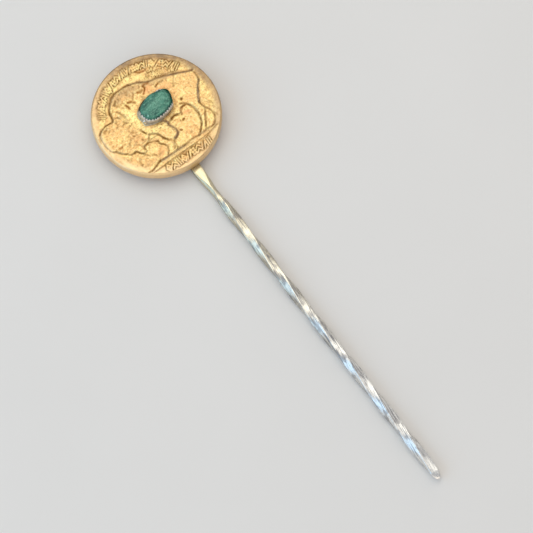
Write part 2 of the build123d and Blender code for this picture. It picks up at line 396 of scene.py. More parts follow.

# Creases and dark accents, darkened with patina and with painted shade along the relief's outlines, and a
# few stains on the field: the tint they take, how strongly, half width, and the path.
LINES = [
    # the back's outline, from the notch behind the head to the root of the tail
    ("umber", 1.0, 0.17, [(-6.5, 2.95), (-6.2, 3.6), (-6.12, 4.3), (-5.9, 4.85), (-5.3, 5.55),
        (-4.6, 6.3), (-3.8, 6.75), (-2.8, 6.9), (-1.6, 6.85), (-0.6, 6.65)]),
    ("ash", 0.65, 0.17, [(-0.8, 6.7), (0.3, 6.35), (1.2, 5.9), (2.1, 5.25)]),
    ("ash", 0.75, 0.17, [(5.4, 4.25), (6.4, 3.85), (7.3, 3.45), (8.2, 3.0), (9.1, 2.7)]),
    # the head
    ("umber", 0.8, 0.13, [(-9.55, 2.25), (-9.1, 2.6), (-8.5, 2.9), (-7.7, 3.05), (-6.6, 2.95)]),
    ("umber", 0.3, 0.20, [(-9.5, 2.3), (-9.9, 1.6), (-10.15, 1.0)]),
    ("umber", 0.3, 0.20, [(-9.85, 0.5), (-10.1, -0.1)]),
    ("umber", 0.6, 0.24, [(-8.65, 2.1), (-8.2, 2.3)]),
    ("umber", 0.35, 0.12, [(-8.3, 1.55), (-7.7, 1.9)]),
    ("rust", 0.5, 0.16, [(-9.0, -1.6), (-8.4, -1.55), (-7.8, -1.6)]),
    ("umber", 0.95, 0.13, [(-9.4, -1.45), (-9.0, -1.65), (-8.7, -2.15), (-8.2, -2.7), (-7.75, -3.0)]),
    ("umber", 0.5, 0.12, [(-7.75, -3.0), (-7.4, -3.45), (-6.8, -3.55)]),
    ("umber", 0.9, 0.13, [(-6.8, -3.55), (-6.4, -3.5), (-6.1, -3.95), (-5.7, -4.5)]),
    # forelegs, with the chaps' edge
    ("umber", 0.5, 0.15, [(-5.6, -4.5), (-5.35, -5.0), (-4.9, -5.45), (-4.4, -5.55), (-4.2, -5.9)]),
    ("umber", 0.95, 0.14, [(-5.0, -4.0), (-4.85, -3.6), (-4.1, -3.4), (-3.5, -3.6), (-2.6, -4.05)]),
    ("umber", 0.8, 0.13, [(-2.6, -4.05), (-2.55, -4.6), (-2.2, -5.05), (-1.9, -5.4)]),
    ("umber", 0.7, 0.12, [(-1.9, -5.4), (-1.85, -5.8), (-2.1, -6.3), (-2.6, -6.95)]),
    ("umber", 0.95, 0.14, [(-3.75, -0.85), (-3.6, -1.35), (-3.35, -1.95)]),
    ("umber", 0.7, 0.14, [(-3.1, -2.3), (-2.4, -2.7), (-1.9, -3.05)]),
    ("umber", 1.0, 0.14, [(-1.9, -3.05), (-1.7, -3.6), (-1.5, -4.2), (-1.1, -4.8), (-0.7, -5.25)]),
    ("umber", 0.8, 0.13, [(-0.7, -5.25), (-0.55, -5.6), (-0.7, -6.1), (-1.1, -6.7)]),
    ("ash", 0.85, 0.19, [(-0.3, -1.6), (0.3, -1.95), (0.55, -2.45), (0.45, -2.9), (0.75, -3.5),
        (0.95, -4.2), (0.85, -4.8), (0.4, -5.2), (0.0, -5.3)]),
    # belly and hind legs
    ("umber", 0.4, 0.13, [(0.5, -2.65), (1.0, -2.45), (1.5, -2.25)]),
    ("umber", 0.9, 0.17, [(1.4, -2.3), (1.8, -2.12), (2.2, -2.1), (2.8, -2.35)]),
    ("rust", 0.8, 0.15, [(3.2, -2.6), (3.4, -2.05), (3.8, -1.65), (4.6, -1.6)]),
    ("umber", 1.0, 0.15, [(4.0, -1.0), (4.5, -1.2), (4.95, -1.65), (5.25, -2.4), (5.45, -3.3),
        (5.45, -4.2), (5.2, -5.0), (4.8, -5.8)]),
    ("umber", 0.85, 0.14, [(4.8, -5.8), (4.3, -6.4), (3.8, -6.85), (3.3, -7.05)]),
    ("umber", 1.0, 0.19, [(4.6, -0.45), (4.8, -0.35)]),
    ("ash", 0.9, 0.16, [(9.0, 0.7), (8.5, 0.15), (8.0, -0.45), (7.4, -1.25), (6.95, -2.0), (6.7, -2.6)]),
    ("umber", 0.85, 0.14, [(6.7, -2.5), (6.75, -3.2), (6.95, -3.8)]),
    ("umber", 0.75, 0.13, [(6.9, -3.9), (6.5, -4.5), (6.1, -5.1), (5.7, -5.75), (5.0, -6.75)]),
    ("umber", 0.8, 0.14, [(7.05, -4.0), (7.3, -4.5), (7.45, -5.1), (7.4, -5.75), (7.15, -6.3),
        (6.7, -6.75), (6.2, -7.1), (5.6, -7.15), (5.1, -7.0)]),
    ("umber", 0.5, 0.12, [(7.5, -5.3), (7.75, -5.7), (7.8, -6.1)]),
    ("umber", 0.3, 0.22, [(7.9, -3.1), (8.3, -3.7)]),
    ("umber", 0.3, 0.15, [(8.7, -5.3), (8.4, -5.9)]),
    # flank and loins
    ("umber", 0.75, 0.15, [(2.55, 3.8), (3.0, 4.0), (3.6, 4.1), (4.1, 4.05)]),
    ("umber", 0.5, 0.15, [(6.1, 3.75), (5.7, 3.2), (5.2, 2.6), (5.0, 2.1)]),
    # the torn edge of the mane
    ("umber", 0.85, 0.14, [(-5.05, 3.95), (-4.75, 3.5), (-4.6, 3.0), (-4.4, 2.4)]),
    ("rust", 1.0, 0.19, [(-3.15, 3.95), (-3.0, 3.5), (-3.05, 3.15)]),
    ("rust", 1.0, 0.22, [(-2.65, 4.15), (-2.1, 3.95), (-1.75, 3.5)]),
    ("umber", 0.6, 0.14, [(-1.7, 4.1), (-1.35, 4.6), (-1.05, 4.95)]),
    ("rust", 1.0, 0.20, [(-0.35, 4.65), (0.0, 4.55), (0.45, 4.6)]),
    ("rust", 0.85, 0.15, [(0.3, 3.9), (0.7, 4.3), (1.05, 4.7), (0.95, 5.1)]),
    ("rust", 0.75, 0.20, [(0.95, 5.1), (1.4, 5.25), (1.9, 5.1)]),
    ("umber", 0.8, 0.13, [(-4.65, 5.15), (-4.45, 5.3)]),
    ("umber", 0.7, 0.13, [(-4.3, 5.45), (-4.1, 5.6)]),
    ("umber", 0.45, 0.14, [(-4.6, 4.85), (-4.2, 4.6), (-3.85, 4.4)]),
    ("umber", 0.4, 0.13, [(-5.9, 4.1), (-5.4, 4.2)]),
    ("umber", 0.55, 0.14, [(-5.85, 3.25), (-5.4, 2.9), (-5.2, 2.5)]),
    ("umber", 0.4, 0.12, [(-6.4, 2.45), (-6.1, 2.4), (-5.9, 2.6)]),
    ("umber", 0.4, 0.13, [(-5.1, 1.95), (-4.85, 1.4)]),
    # chest and knees
    ("umber", 0.4, 0.14, [(-5.0, -0.5), (-4.7, -1.0), (-4.55, -1.7)]),
    ("umber", 0.35, 0.15, [(-6.6, -1.9), (-6.0, -1.3), (-5.5, -1.5)]),
    ("umber", 0.45, 0.14, [(-5.9, -2.5), (-5.3, -2.9), (-5.1, -3.5)]),
    ("umber", 0.35, 0.15, [(-4.4, -2.6), (-4.0, -2.9)]),
    ("umber", 0.4, 0.17, [(-6.7, -4.9), (-6.95, -5.3), (-6.95, -5.95)]),
    ("umber", 0.35, 0.14, [(-6.6, -4.8), (-6.0, -4.85), (-5.6, -4.75)]),
    ("umber", 0.25, 0.18, [(-3.0, -5.3), (-3.5, -5.9), (-3.8, -6.2)]),
    # stains on the field
    ("umber", 0.25, 0.20, [(-9.8, -2.6), (-9.5, -3.3), (-9.35, -3.9)]),
    ("rust", 0.75, 0.14, [(1.5, -4.65), (1.6, -4.85)]),
    ("rust", 0.7, 0.14, [(2.8, -3.5), (3.0, -3.4)]),
    ("rust", 0.4, 0.13, [(2.35, -3.4), (2.45, -3.3)]),
    ("rust", 0.4, 0.12, [(1.2, -2.85), (1.8, -2.75)]),
    ("rust", 0.6, 0.14, [(1.5, 7.9), (1.8, 7.5), (2.3, 7.35), (2.9, 7.25)]),
    # the ground and the line under it
    ("umber", 0.9, 0.14, [(-6.85, -7.6), (-6.2, -7.65), (-5.4, -7.4), (-4.7, -7.15), (-4.2, -7.05)]),
    ("ash", 0.7, 0.19, [(-4.2, -7.1), (-2.5, -7.2), (-1.0, -7.15), (0.4, -7.2)]),
    ("umber", 0.65, 0.15, [(0.2, -7.15), (1.2, -7.15), (2.2, -7.02), (3.4, -7.2)]),
    ("ash", 0.4, 0.16, [(3.4, -7.15), (4.4, -7.2), (5.2, -7.2)]),
    ("umber", 0.55, 0.09, [(-6.5, -8.1), (-4.5, -8.12), (-2.0, -8.0), (1.0, -7.98), (3.4, -7.95),
        (5.0, -7.8), (6.8, -7.35)]),
]

# Soft patches by tint: x, y, half length, half width, turn, strength. Blush patches are reddish stains; the
# grey patches are painted shade, strongest over the hump and back; cream patches are paler gilding, the
# first of them a painted highlight on the bright neck.
PATCHES = {
    "cream": [
        # the first cream patch is a painted highlight on the neck
        (-3.6, 0.9, 3.0, 1.0, 100, 1.0), (-2.6, -2.0, 1.5, 0.6, -35, 0.9),
        (-0.7, -2.3, 1.3, 0.6, -20, 0.9), (-4.0, 2.7, 1.3, 0.7, 30, 0.6),
        (-7.4, 4.3, 1.8, 0.5, 45, 0.9), (-5.4, 6.5, 1.9, 0.45, 45, 1.0), (-2.6, 7.7, 2.3, 0.5, 8, 1.0),
        (0.6, 7.3, 1.9, 0.9, -20, 0.9), (1.9, 6.2, 1.0, 0.4, -30, 0.8), (8.1, 4.6, 1.4, 0.8, -60, 0.9),
        (8.9, -0.6, 2.2, 0.6, 80, 1.0), (9.0, 3.4, 0.8, 0.3, -25, 0.8), (8.5, -4.3, 1.6, 0.5, 70, 0.6),
        (6.6, -5.5, 1.2, 0.5, 65, 0.7), (-1.4, -6.1, 1.2, 0.4, 75, 0.7),
        (-0.2, -6.3, 0.9, 0.4, 70, 0.7), (-3.1, -2.9, 1.1, 0.4, -30, 0.7),
        (-4.3, -4.0, 0.9, 0.3, 5, 0.6), (4.7, -3.4, 2.4, 0.35, 100, 0.5),
        (-5.3, -7.05, 1.2, 0.25, 12, 0.8), (1.2, -5.6, 1.3, 0.4, 80, 0.6),
        (6.2, -8.2, 1.6, 0.3, 12, 0.5),
    ],
    # painted shade in grey, strongest over the hump and back
    "grey_shade": [
        (-1.9, 5.7, 3.6, 1.05, -2, 0.8), (2.6, 4.9, 1.9, 0.6, -14, 1.1),
        (5.0, 4.4, 2.0, 0.55, -20, 1.1), (0.0, -7.45, 5.0, 0.28, 0, 0.7),
        (-8.9, -4.3, 1.6, 0.7, -70, 0.35), (-6.3, -6.4, 1.4, 0.7, -40, 0.35),
        (-0.5, 9.6, 6.0, 0.8, 0, 0.2), (-7.6, 5.2, 1.2, 0.8, 50, 0.4), (-5.6, 7.4, 1.4, 0.6, 40, 0.4),
    ],
    "blush": [
        (1.1, 4.2, 1.1, 0.5, 25, 0.8), (4.1, -2.7, 0.8, 0.35, -15, 1.0),
        (-3.6, -5.9, 1.6, 0.6, 20, 0.6), (-1.5, -10.0, 2.5, 0.6, 8, 0.8),
        (-6.0, -8.6, 1.6, 0.5, -40, 0.5), (2.3, 7.5, 1.4, 0.4, -15, 0.6),
        (-4.3, -9.3, 1.2, 0.4, -20, 0.5), (-9.6, 3.6, 1.6, 0.3, 65, 0.5),
        (-9.4, -3.6, 1.8, 0.5, -68, 0.5), (3.4, 2.4, 2.3, 1.4, -15, 0.5),
        (-4.9, -1.6, 0.9, 1.5, 0, 0.35),
    ],
}
TINTS = ("umber", "ash", "rust", "cream", "grey_shade", "blush")


def animal():
    """The bison as one layer over the field, with the far legs lower than the near ones."""
    shape = form(BODY, ANIMAL_RISE, 0.30, crown=0.02)
    shape = np.maximum(shape, form(HIND, ANIMAL_RISE, 0.3))
    near_fore = [(-1.7, -2.9), (0.4, -4.6), (-0.3, -5.3), (-0.5, -6.2), (-0.9, -7.05), (-1.9, -7.0),
                 (-1.0, -6.2), (-0.75, -5.6), (-1.5, -4.4)]
    far_fore = [(-4.9, -3.5), (-3.0, -3.2), (-1.9, -3.3), (-1.6, -4.4), (-0.8, -5.5), (-1.2, -6.5),
                (-1.7, -7.0), (-2.7, -7.0), (-1.95, -6.0), (-2.5, -4.6), (-3.6, -3.8)]
    far_hind = [(6.7, -2.7), (7.2, -4.1), (7.5, -5.3), (7.1, -6.5), (6.1, -7.1), (5.0, -7.0), (6.3, -5.0)]
    for outline, height in ((near_fore, ANIMAL_RISE), (far_fore, 0.07), (far_hind, 0.045)):
        shape = np.maximum(shape, form(outline, height, 0.22))
    knee = limb([(-5.5, -5.0), (-4.6, -5.9), (-4.2, -6.8)], [0.35, 0.3, 0.35], 0.035)
    tail = limb([(8.8, 1.6), (8.5, 0.8), (8.2, 0.2)], [0.25, 0.2, 0.16], 0.06)
    tuft = limb([(7.6, -1.3), (7.5, -2.4), (7.9, -3.5), (8.1, -4.1)], [0.16, 0.22, 0.34, 0.2], 0.035)
    for layer in (knee, tail, tuft):
        shape = np.maximum(shape, layer)
    inner = rise(0.02, 0.10, shape)
    swell = mound(-7.5, 0.5, 2.3, 2.5, 0, 0.075, 0.8)
    swell += mound(-3.4, 1.4, 2.2, 4.2, 12, 0.055)
    swell += mound(-1.8, 5.0, 4.0, 2.0, 0, 0.02)
    swell += mound(6.9, 1.0, 2.2, 2.8, 20, 0.055, 0.8)
    swell += mound(-0.8, -3.2, 1.3, 2.2, 15, 0.045, 0.8)
    swell += mound(3.6, 2.0, 3.4, 2.2, -20, 0.02)
    swell += limb([(-7.9, 2.3), (-8.4, 2.2), (-8.8, 2.5)], [0.3, 0.25, 0.12], 0.05)
    swell += mound(-6.25, 2.85, 0.26, 0.26, 0, 0.05)
    return shape + inner * swell


def coat():
    """Locks of wool on the head, chest, hump and forelegs, and short hair on the hindquarters."""
    wool = tufts(90, HEAD, 0.90, 0.20, 0.011, -60)
    wool += tufts(24, HEAD, 1.60, 0.40, 0.020, -60)
    wool += tufts(95, CHEST, 1.00, 0.19, 0.022, -70)
    wool += tufts(110, HUMP, 0.80, 0.17, 0.020, 50)
    wool += tufts(40, CHAPS, 0.80, 0.16, 0.013, -80, spread=20)
    wool += tufts(60, HIND, 0.60, 0.16, 0.007, -70)
    return wool


def stroke(x, y, turn, kind, long, high):
    """One small ornament: leaves, gem, peaks, bars or spots. None of them is a letter."""
    where = window([(x, y)], long)
    u, v = turned(x, y, turn, where)
    half = long / 2
    wide = 0.32 * long
    thin = 0.085 * long
    if kind == "leaves":
        slant = u - 0.45 * v
        gap = np.hypot((np.abs(slant) - 0.55 * wide) / 0.9, v * wide * 0.42 / half) - 0.36 * wide
    elif kind == "gem":
        core = np.hypot(u, v) - 1.2 * thin
        gap = np.minimum(np.abs(np.abs(u) / wide + np.abs(v) / half - 0.85) * 0.8 * wide - thin, core)
    elif kind == "peaks":
        slope = v + 1.1 * np.abs(u)
        pair = np.minimum(np.abs(slope - 0.75 * half), np.abs(slope + 0.15 * half))
        gap = np.maximum(0.7 * pair - thin, np.abs(u) - wide)
    elif kind == "bars":
        three = np.minimum(np.abs(u), np.abs(np.abs(u) - 0.85 * wide))
        gap = np.maximum(three - 0.8 * thin, np.abs(v) - half)
    else:
        row = np.hypot(np.abs(u) - 0.5 * wide, np.abs(v) - 0.62 * half) - 1.7 * thin
        gap = np.minimum(row, np.hypot(np.abs(u) - 0.5 * wide, v) - 1.7 * thin)
    layer = np.zeros(X.shape)
    layer[where] = high * (1 - rise(-0.05, 0.09, gap))
    return layer


def inscription():
    """Plain ornament where the coin has words: round the top, over the rump, under the ground."""
    layer = np.zeros(X.shape)
    kinds = ["bars", "leaves", "spots", "gem", "peaks", "bars", "gem", "leaves", "spots", "peaks", "leaves"]
    for k in range(TOP_MARKS):
        angle = TOP_FIRST - TOP_SWEEP * k / (TOP_MARKS - 1)
        reach = TOP_REACH + 0.08 * rng.uniform(-1, 1)
        worn = (0.075 + 0.03 * k / TOP_MARKS) * rng.uniform(0.75, 1.1)
        place = (reach * cos(radians(angle)), reach * sin(radians(angle)))
        turn = angle - 90 + rng.uniform(-6, 6)
        layer = np.maximum(layer, stroke(*place, turn, kinds[k % 11], rng.uniform(1.25, 1.45), worn))
    for k in range(LOWER_MARKS):
        place = (LOWER_START + LOWER_PITCH * k, LOWER_Y + 0.04 * rng.uniform(-1, 1))
        kind = kinds[(k + 3) % 11]
        layer = np.maximum(layer, stroke(*place, rng.uniform(-4, 4), kind, 1.42, 0.09))
    for row, (x, y, marks) in enumerate([(3.3, 6.95, 2), (2.7, 6.25, 6), (3.4, 5.55, 7)]):
        for k in range(marks):
            place = (x + 0.52 * k, y - 0.15 * k)
            layer = np.maximum(layer, stroke(*place, -16, kinds[(k + row) % 11], 0.68, 0.05))
    return layer


def ground():
    """The uneven ground under the hooves, and the straight line below it."""
    bank = form([(-6.9, -7.6), (-5.4, -7.35), (-4.2, -7.05), (-2.0, -7.15), (0.0, -7.1), (2.2, -6.98),
                 (3.6, -7.15), (5.2, -7.1), (6.9, -7.1), (6.6, -7.5), (3.0, -7.72), (-1.0, -7.75),
                 (-4.6, -7.9)], 0.07, 0.18)
    ridge = limb([(-6.6, -7.95), (-3.0, -7.85), (1.0, -7.8), (4.0, -7.75), (6.6, -7.3)],
                 [0.12, 0.14, 0.14, 0.13, 0.08], 0.085)
    return np.maximum(bank, ridge)


def setting_loop(amount, count=360):
    """The stone's plan about the coin's centre, grown by amount, in count equal steps."""
    loop = even_loop(smooth_path(STONE_PLAN, closed=True, steps=16), count)
    return loop + amount * loop_normals(loop) + SETTING


def add_creases(h, tint, broken, glow):
    """Cut the creases, darken them unevenly with patina and painted shade, and paint broken bands of
    highlight in cream beside them.
    """
    for name, strength, width, points in LINES:
        path = smooth_path(points, steps=8)
        path = path + rng.normal(0, 0.02, path.shape)
        where = window(path, 5 * width)
        apart = distance(path, where) / (1.08 * width)
        crease = min(1.0, 1.12 * strength) * np.exp(-apart**2)
        h[where] -= CREASE_DEPTH * crease
        # patina and painted shade down the crease
        tint[name][where] = np.maximum(tint[name][where], crease * broken[where])
        # painted highlight: a broken cream band beside the crease
        painted_band = 0.9 * strength * np.exp(-((apart - 2.1) / 0.7) ** 2) * glow[where]
        tint["cream"][where] = np.maximum(tint["cream"][where], painted_band)


def add_patches(tint):
    """Lay the soft patches, stains and painted shade and highlight alike, each with an uneven strength."""
    for name, patches in PATCHES.items():
        for x, y, a, b, turn, strength in patches:
            soft = strength * mound(x, y, 1.25 * a, 1.25 * b, turn, 1.0, 0.8)
            tint[name] = np.maximum(tint[name], soft * np.clip(0.85 + 0.25 * grain(0.4), 0, 1.1))


def add_seat(h, tint):
    """Level the relief under the setting and paint shade in umber into the corner round it."""
    foot = setting_loop(0.40)
    where = window(foot, 1.0)
    apart = distance(foot, where, closed=True) * np.where(inside(foot, where), -1, 1)
    flat = 1 - rise(-0.05, 0.35, apart)
    h[where] = h[where] * (1 - flat) + RELIEF * flat
    # painted shade: a dark band round the setting's foot
    tint["umber"][where] = np.maximum(tint["umber"][where], 0.45 * np.exp(-((apart / 0.22) ** 2)))


def relief():
    """Heights over the coin's field for the whole front, and how strongly each tint lies there."""
    tint = {name: np.zeros(X.shape) for name in TINTS}
    shape = animal()
    marks = inscription()
    h = np.maximum(np.maximum(shape, ground()), marks)
    h += rise(0.02, 0.10, shape) * coat()
    broken = np.clip(1.0 + 0.22 * grain(0.25) + 0.08 * grain(0.09), 0.6, 1.25)
    glow = np.clip(0.6 + 0.5 * grain(0.35), 0, 1)
    add_creases(h, tint, broken, glow)
    h += 0.014 * grain(0.9) + 0.014 * grain(0.24) + 0.005 * grain(0.10)
    add_patches(tint)
    h = h * (1 - 0.6 * rise(9.8, 10.2, R)) + RIM_RISE * rise(8.8, 10.1, R)
    add_seat(h, tint)
    h = blur(h, RELIEF_SOFTNESS)
    # Patina and painted shade in the hollows, painted shade round the raised ornaments, and a painted
    # highlight in cream on their tops.
    dip = np.clip((blur(h, 0.16) - h) / 0.018, 0, 1)
    raised = np.clip(marks / 0.05, 0, 1)
    painted_band = np.clip(2.6 * blur(raised, 0.14), 0, 1) * (1 - raised)
    patina_and_shade = np.maximum(dip * 0.6, 1.1 * painted_band) * broken
    tint["umber"] = np.maximum(tint["umber"], patina_and_shade)
    tint["cream"] = np.maximum(tint["cream"], 0.6 * raised * glow)
    return h, tint


def sample(field, x, y):
    """Bilinear reading of a raster."""
    u = np.clip((x + HALF) / STEP, 0, len(line) - 1.001)
    v = np.clip((y + HALF) / STEP, 0, len(line) - 1.001)
    i, j = u.astype(int), v.astype(int)
    s, t = u - i, v - j
    low = field[j, i] * (1 - s) + field[j, i + 1] * s
    high = field[j + 1, i] * (1 - s) + field[j + 1, i + 1] * s
    return low * (1 - t) + high * t


def disc_grid(cells):
    """A square grid mapped evenly onto the unit disc, and the order of its border points."""
    n = cells + 1
    a, b = np.meshgrid(np.linspace(-1, 1, n), np.linspace(-1, 1, n))
    wide = np.abs(a) > np.abs(b)
    radius = np.where(wide, a, b)
    safe_a = np.where(a == 0, 1, a)
    safe_b = np.where(b == 0, 1, b)
    angle = np.where(wide, pi / 4 * b / safe_a, pi / 2 - pi / 4 * a / safe_b)
    faces = []
    for r in range(cells):
        row = r * n
        faces += [(row + c, row + c + 1, row + n + c + 1, row + n + c) for c in range(cells)]
    bottom = list(range(cells))
    right = [r * n + cells for r in range(cells)]
    top = [cells * n + c for c in range(cells, 0, -1)]
    left = [r * n for r in range(cells, 0, -1)]
    return radius * np.cos(angle), radius * np.sin(angle), faces, bottom + right + top + left


def side_rings():
    """The coin's rounded edge and side as rings, from the front down.

    Each has its radius, its height, and how much it keeps of the front's unevenness and of
    the knocks in the side.
    """
    side_high = FRONT_Z - EDGE_DROP
    side_low = BACK_Z + BACK_ROUND
    rings = []
    for turn in (12, 24, 36, 48, 60, 75, 90):
        t = radians(turn)
        radius = FLAT_RADIUS + FRONT_ROUND * sin(t)
        rings.append((radius, side_high + EDGE_DROP * cos(t), 1 - turn / 90, sin(t)))
    for share in (0.35, 0.7, 1.0):
        rings.append((COIN_RADIUS, side_high + (side_low - side_high) * share, 0, 1))
    for turn in (25, 50, 70, 90):
        t = radians(turn)
        rings.append((COIN_RADIUS - BACK_ROUND * (1 - cos(t)), side_low - BACK_ROUND * sin(t), 0, cos(t)))
    return rings


def back_rings():
    """The back's raised rim and hollow field, as rings like those of the side."""
    steps = [(0.12, 0), (0.04, 0.3), (-0.04, 0.85), (-0.15, 1), (-1.4, 1), (-3.4, 1), (-5.6, 1)]
    return [(COIN_RADIUS - BACK_RIM + out, BACK_Z + share * BACK_HOLLOW, 0, 0) for out, share in steps]


def make_coin(material):
    """The struck front from the relief, then a rounded edge, a plain side and a hollowed back."""
    heights, tint = relief()
    u, v, faces, border = disc_grid(COIN_CELLS)
    x, y = u.ravel() * FLAT_RADIUS, v.ravel() * FLAT_RADIUS
    z = FIELD_Z + sample(heights, x, y)
    verts = [np.stack([x, y + COIN_Y, z], 1)]
    count = len(border)
    angle = np.arctan2(y[border], x[border])
    edge_lift = z[border] - FRONT_Z
    knocks = 0.03 * wobble(count, [3, 7, 11, 17], 5) + 0.012 * wobble(count, [40, 57, 83], 6)
    side = side_rings()
    rings = side + back_rings()
    for radius, height, lift, knock in rings:
        reach = np.minimum(radius + (knocks - 0.02) * knock * 0.6, COIN_RADIUS - 0.002)
        level = np.full(count, height) + edge_lift * lift
        verts.append(np.stack([reach * np.cos(angle), reach * np.sin(angle) + COIN_Y, level], 1))
    start = len(x)
    chain = [border] + [list(range(start + k * count, start + (k + 1) * count)) for k in range(len(rings))]
    for upper, lower in zip(chain, chain[1:]):
        for k in range(count):
            m = (k + 1) % count
            faces.append((upper[k], lower[k], lower[m], upper[m]))
    faces.append(tuple(reversed(chain[-1])))
    verts = np.vstack(verts)
    coin = piece("gilt_coin", verts, faces, material, "coin", sharp=None)
    past_front = np.zeros(len(verts) - start)
    layers = {name: np.append(sample(tint[name], x, y), past_front) for name in TINTS}
    # Painted shade on the rounded edge and side towards the upper right, painted light towards the lower
    # left.
    from_centre = verts[:, 1] - COIN_Y
    outer = rise(8.9, 10.0, np.hypot(verts[:, 0], from_centre))
    outer[start + len(side) * count:] = 0
    toward = np.cos(np.arctan2(from_centre, verts[:, 0]) - radians(45))
    upper_right = np.clip(0.55 + 0.6 * toward, 0, 1)
    layers["rim_shade_painted"] = outer * upper_right
    layers["rim_light_painted"] = outer * (1 - upper_right)
    store(coin, layers)


# ---- the setting and the stone


def plan_loop(count):
    """The stone's plan about its own centre."""
    return setting_loop(0, count) - SETTING


def facing(count, toward):
    """How squarely each station of the setting faces a direction, from -1 to 1."""
    return loop_normals(plan_loop(count)) @ (np.array(toward) / np.hypot(*toward))


def near_spot(count, spot, reach):
    """1 where the setting passes a spot in the stone's plan, falling to 0 away from it."""
    return np.exp(-((np.linalg.norm(plan_loop(count) - np.array(spot), axis=1) / reach) ** 2))


def swept_loop(name, profile, material, node, count, solid=False):
    """A band round the setting, or a slab if solid; profile gives (offset, height) up its outside."""
    verts = []
    loop = setting_loop(0, count)
    normal = loop_normals(loop)
    for offset, height in profile:
        ring = loop + normal * np.broadcast_to(offset, count)[:, None]
        verts.append(np.stack([ring[:, 0], ring[:, 1] + COIN_Y, np.broadcast_to(height, count)], 1))
    faces = ring_faces(len(profile), count, close_rings=not solid)
    if solid:
        faces += [lid((len(profile) - 1) * count, count), lid(0, count, flip=True)]
    return piece(name, np.vstack(verts), faces, material, node, sharp=40.0)


def undercut(count):
    """How far the strip's foot is drawn in under its top, on the side towards the ground line."""
    return 0.18 * rise(0.1, 0.85, facing(count, (0.45, -0.9)))


def shaded_arc(count):
    """Where the strip stands clear of the stone, black with painted shadow in the gap."""
    return rise(0.84, 0.95, facing(count, (-0.58, 0.81)))


def pressed(count):
    """Where the teeth close over the stone: on the near side, and a few at the far corner."""
    near_side = rise(-0.45, 0.15, facing(count, (-0.62, -0.78)))
    return np.maximum(near_side, near_spot(count, (1.85, 1.85), 0.9))


def make_strip(material):
    """The upright strip: uneven teeth pressed over the stone, thin and low under its far edge."""
    count = STRIP_STATIONS
    t = np.arange(count) / count
    near = pressed(count)
    drift = 0.36 * wobble(count, [2, 5, 9], 21)
    saw = np.abs(((t * TEETH + drift) % 1) * 2 - 1)
    bite = np.clip(saw * 1.2 - 0.1, 0, 1) ** 0.7
    bite = bite + (1 - bite) * 0.6 * np.clip(0.5 + wobble(count, [7, 13, 17, 23], 26), 0, 1)
    size = 0.7 + 0.3 * wobble(count, [4, 11, 19], 22)
    high = STRIP_TOP_Z - TOOTH_DEPTH * (1 - bite) * size - 0.04 * (1 + wobble(count, [3, 7], 23)) / 2
    high = high - FAR_EDGE_DROP * (1 - near)
    low = BASE_TOP_Z
    tall = high - low
    dent = 0.035 * wobble(count, [6, 13, 23, 41], 24) + 0.02 * (bite - 0.5)
    outer = STRIP_GAP + STRIP_WALL * (0.45 + 0.55 * np.maximum(near, shaded_arc(count)))
    under = undercut(count)
    lean = (STRIP_LEAN + 0.02 * wobble(count, [3, 8], 25)) * near + 0.05
    buried = -0.20 - under
    profile = [
        (outer - under, low),
        (outer - 0.8 * under + 0.5 * dent, low + 0.25 * tall),
        (outer - 0.45 * under - 0.08 * lean + dent, low + 0.50 * tall),
        (outer - 0.12 * under - 0.28 * lean + dent, low + 0.72 * tall),
        (outer - 0.50 * lean + 0.5 * dent, high - 0.12),
        (outer - (0.38 + 0.42 * bite) * lean, high - 0.03),
        (outer - (0.46 + 0.60 * bite) * lean, high),
        (outer - (0.54 + 0.76 * bite) * lean, high - 0.02),
        (outer - (0.60 + 0.82 * bite) * lean, high - 0.08),
        (outer - (0.60 + 0.60 * bite) * lean, high - 0.20),
        (buried, low + 0.5 * tall),
        (buried, low),
    ]
    strip = swept_loop("setting_strip", profile, material, "bezel_strip", count)
    # Painted shade on the strip: darker at its foot and down its inner side, and black along the clear arc.
    shares = (0.5, 0.32, 0.18, 0.08, 0, 0, 0, 0.1, 0.6, 1, 1, 1)
    store(strip, {"painted_shade": np.concatenate([np.maximum(share, shaded_arc(count)) for share in shares])})


def foot_edge(count):
    """The base plate's edge outside the stone's plan: widest at the setting's left end."""
    left_end = rise(-0.3, 0.9, facing(count, (-0.99, -0.14)))
    wide = STRIP_GAP + STRIP_WALL + 0.03 + 0.09 * left_end + 0.22 * near_spot(count, (-2.75, -1.15), 0.30)
    return wide - undercut(count)


def make_base(material):
    """The base plate: rounded at its edge, with the joint's corner standing out."""
    count = BASE_STATIONS
    edge = foot_edge(count) + 0.015 * wobble(count, [5, 9, 16], 31)
    thick = BASE_TOP_Z - SEAT_Z
    profile = [
        (edge - 0.03, SEAT_Z),
        (edge, SEAT_Z + 0.3 * thick),
        (edge - 0.01, SEAT_Z + 0.7 * thick),
        (edge - 0.06, BASE_TOP_Z),
    ]
    swept_loop("setting_base", profile, material, "bezel_base", count, solid=True)


def make_foot_solder(material):
    """Solder drawn into the corner between the base plate and the coin, wider here and there."""
    count = BASE_STATIONS
    toward = rise(-0.3, 0.9, facing(count, (-0.99, -0.14)))
    run = 0.04 + 0.10 * toward + 0.03 * wobble(count, [4, 7, 12, 21], 41)
    climb = 0.12 + 0.04 * wobble(count, [5, 9, 17], 42)
    edge = foot_edge(count)
    sunk = SEAT_Z - 0.03
    profile = [
        (edge + run, sunk),
        (edge + 0.55 * run, SEAT_Z + 0.16 * climb),
        (edge + 0.25 * run, SEAT_Z + 0.45 * climb),
        (edge, SEAT_Z + climb),
        (edge - 0.10, SEAT_Z + climb),
        (edge - 0.10, sunk),
    ]
    swept_loop("setting_foot_solder", profile, material, "bezel_solder", count)


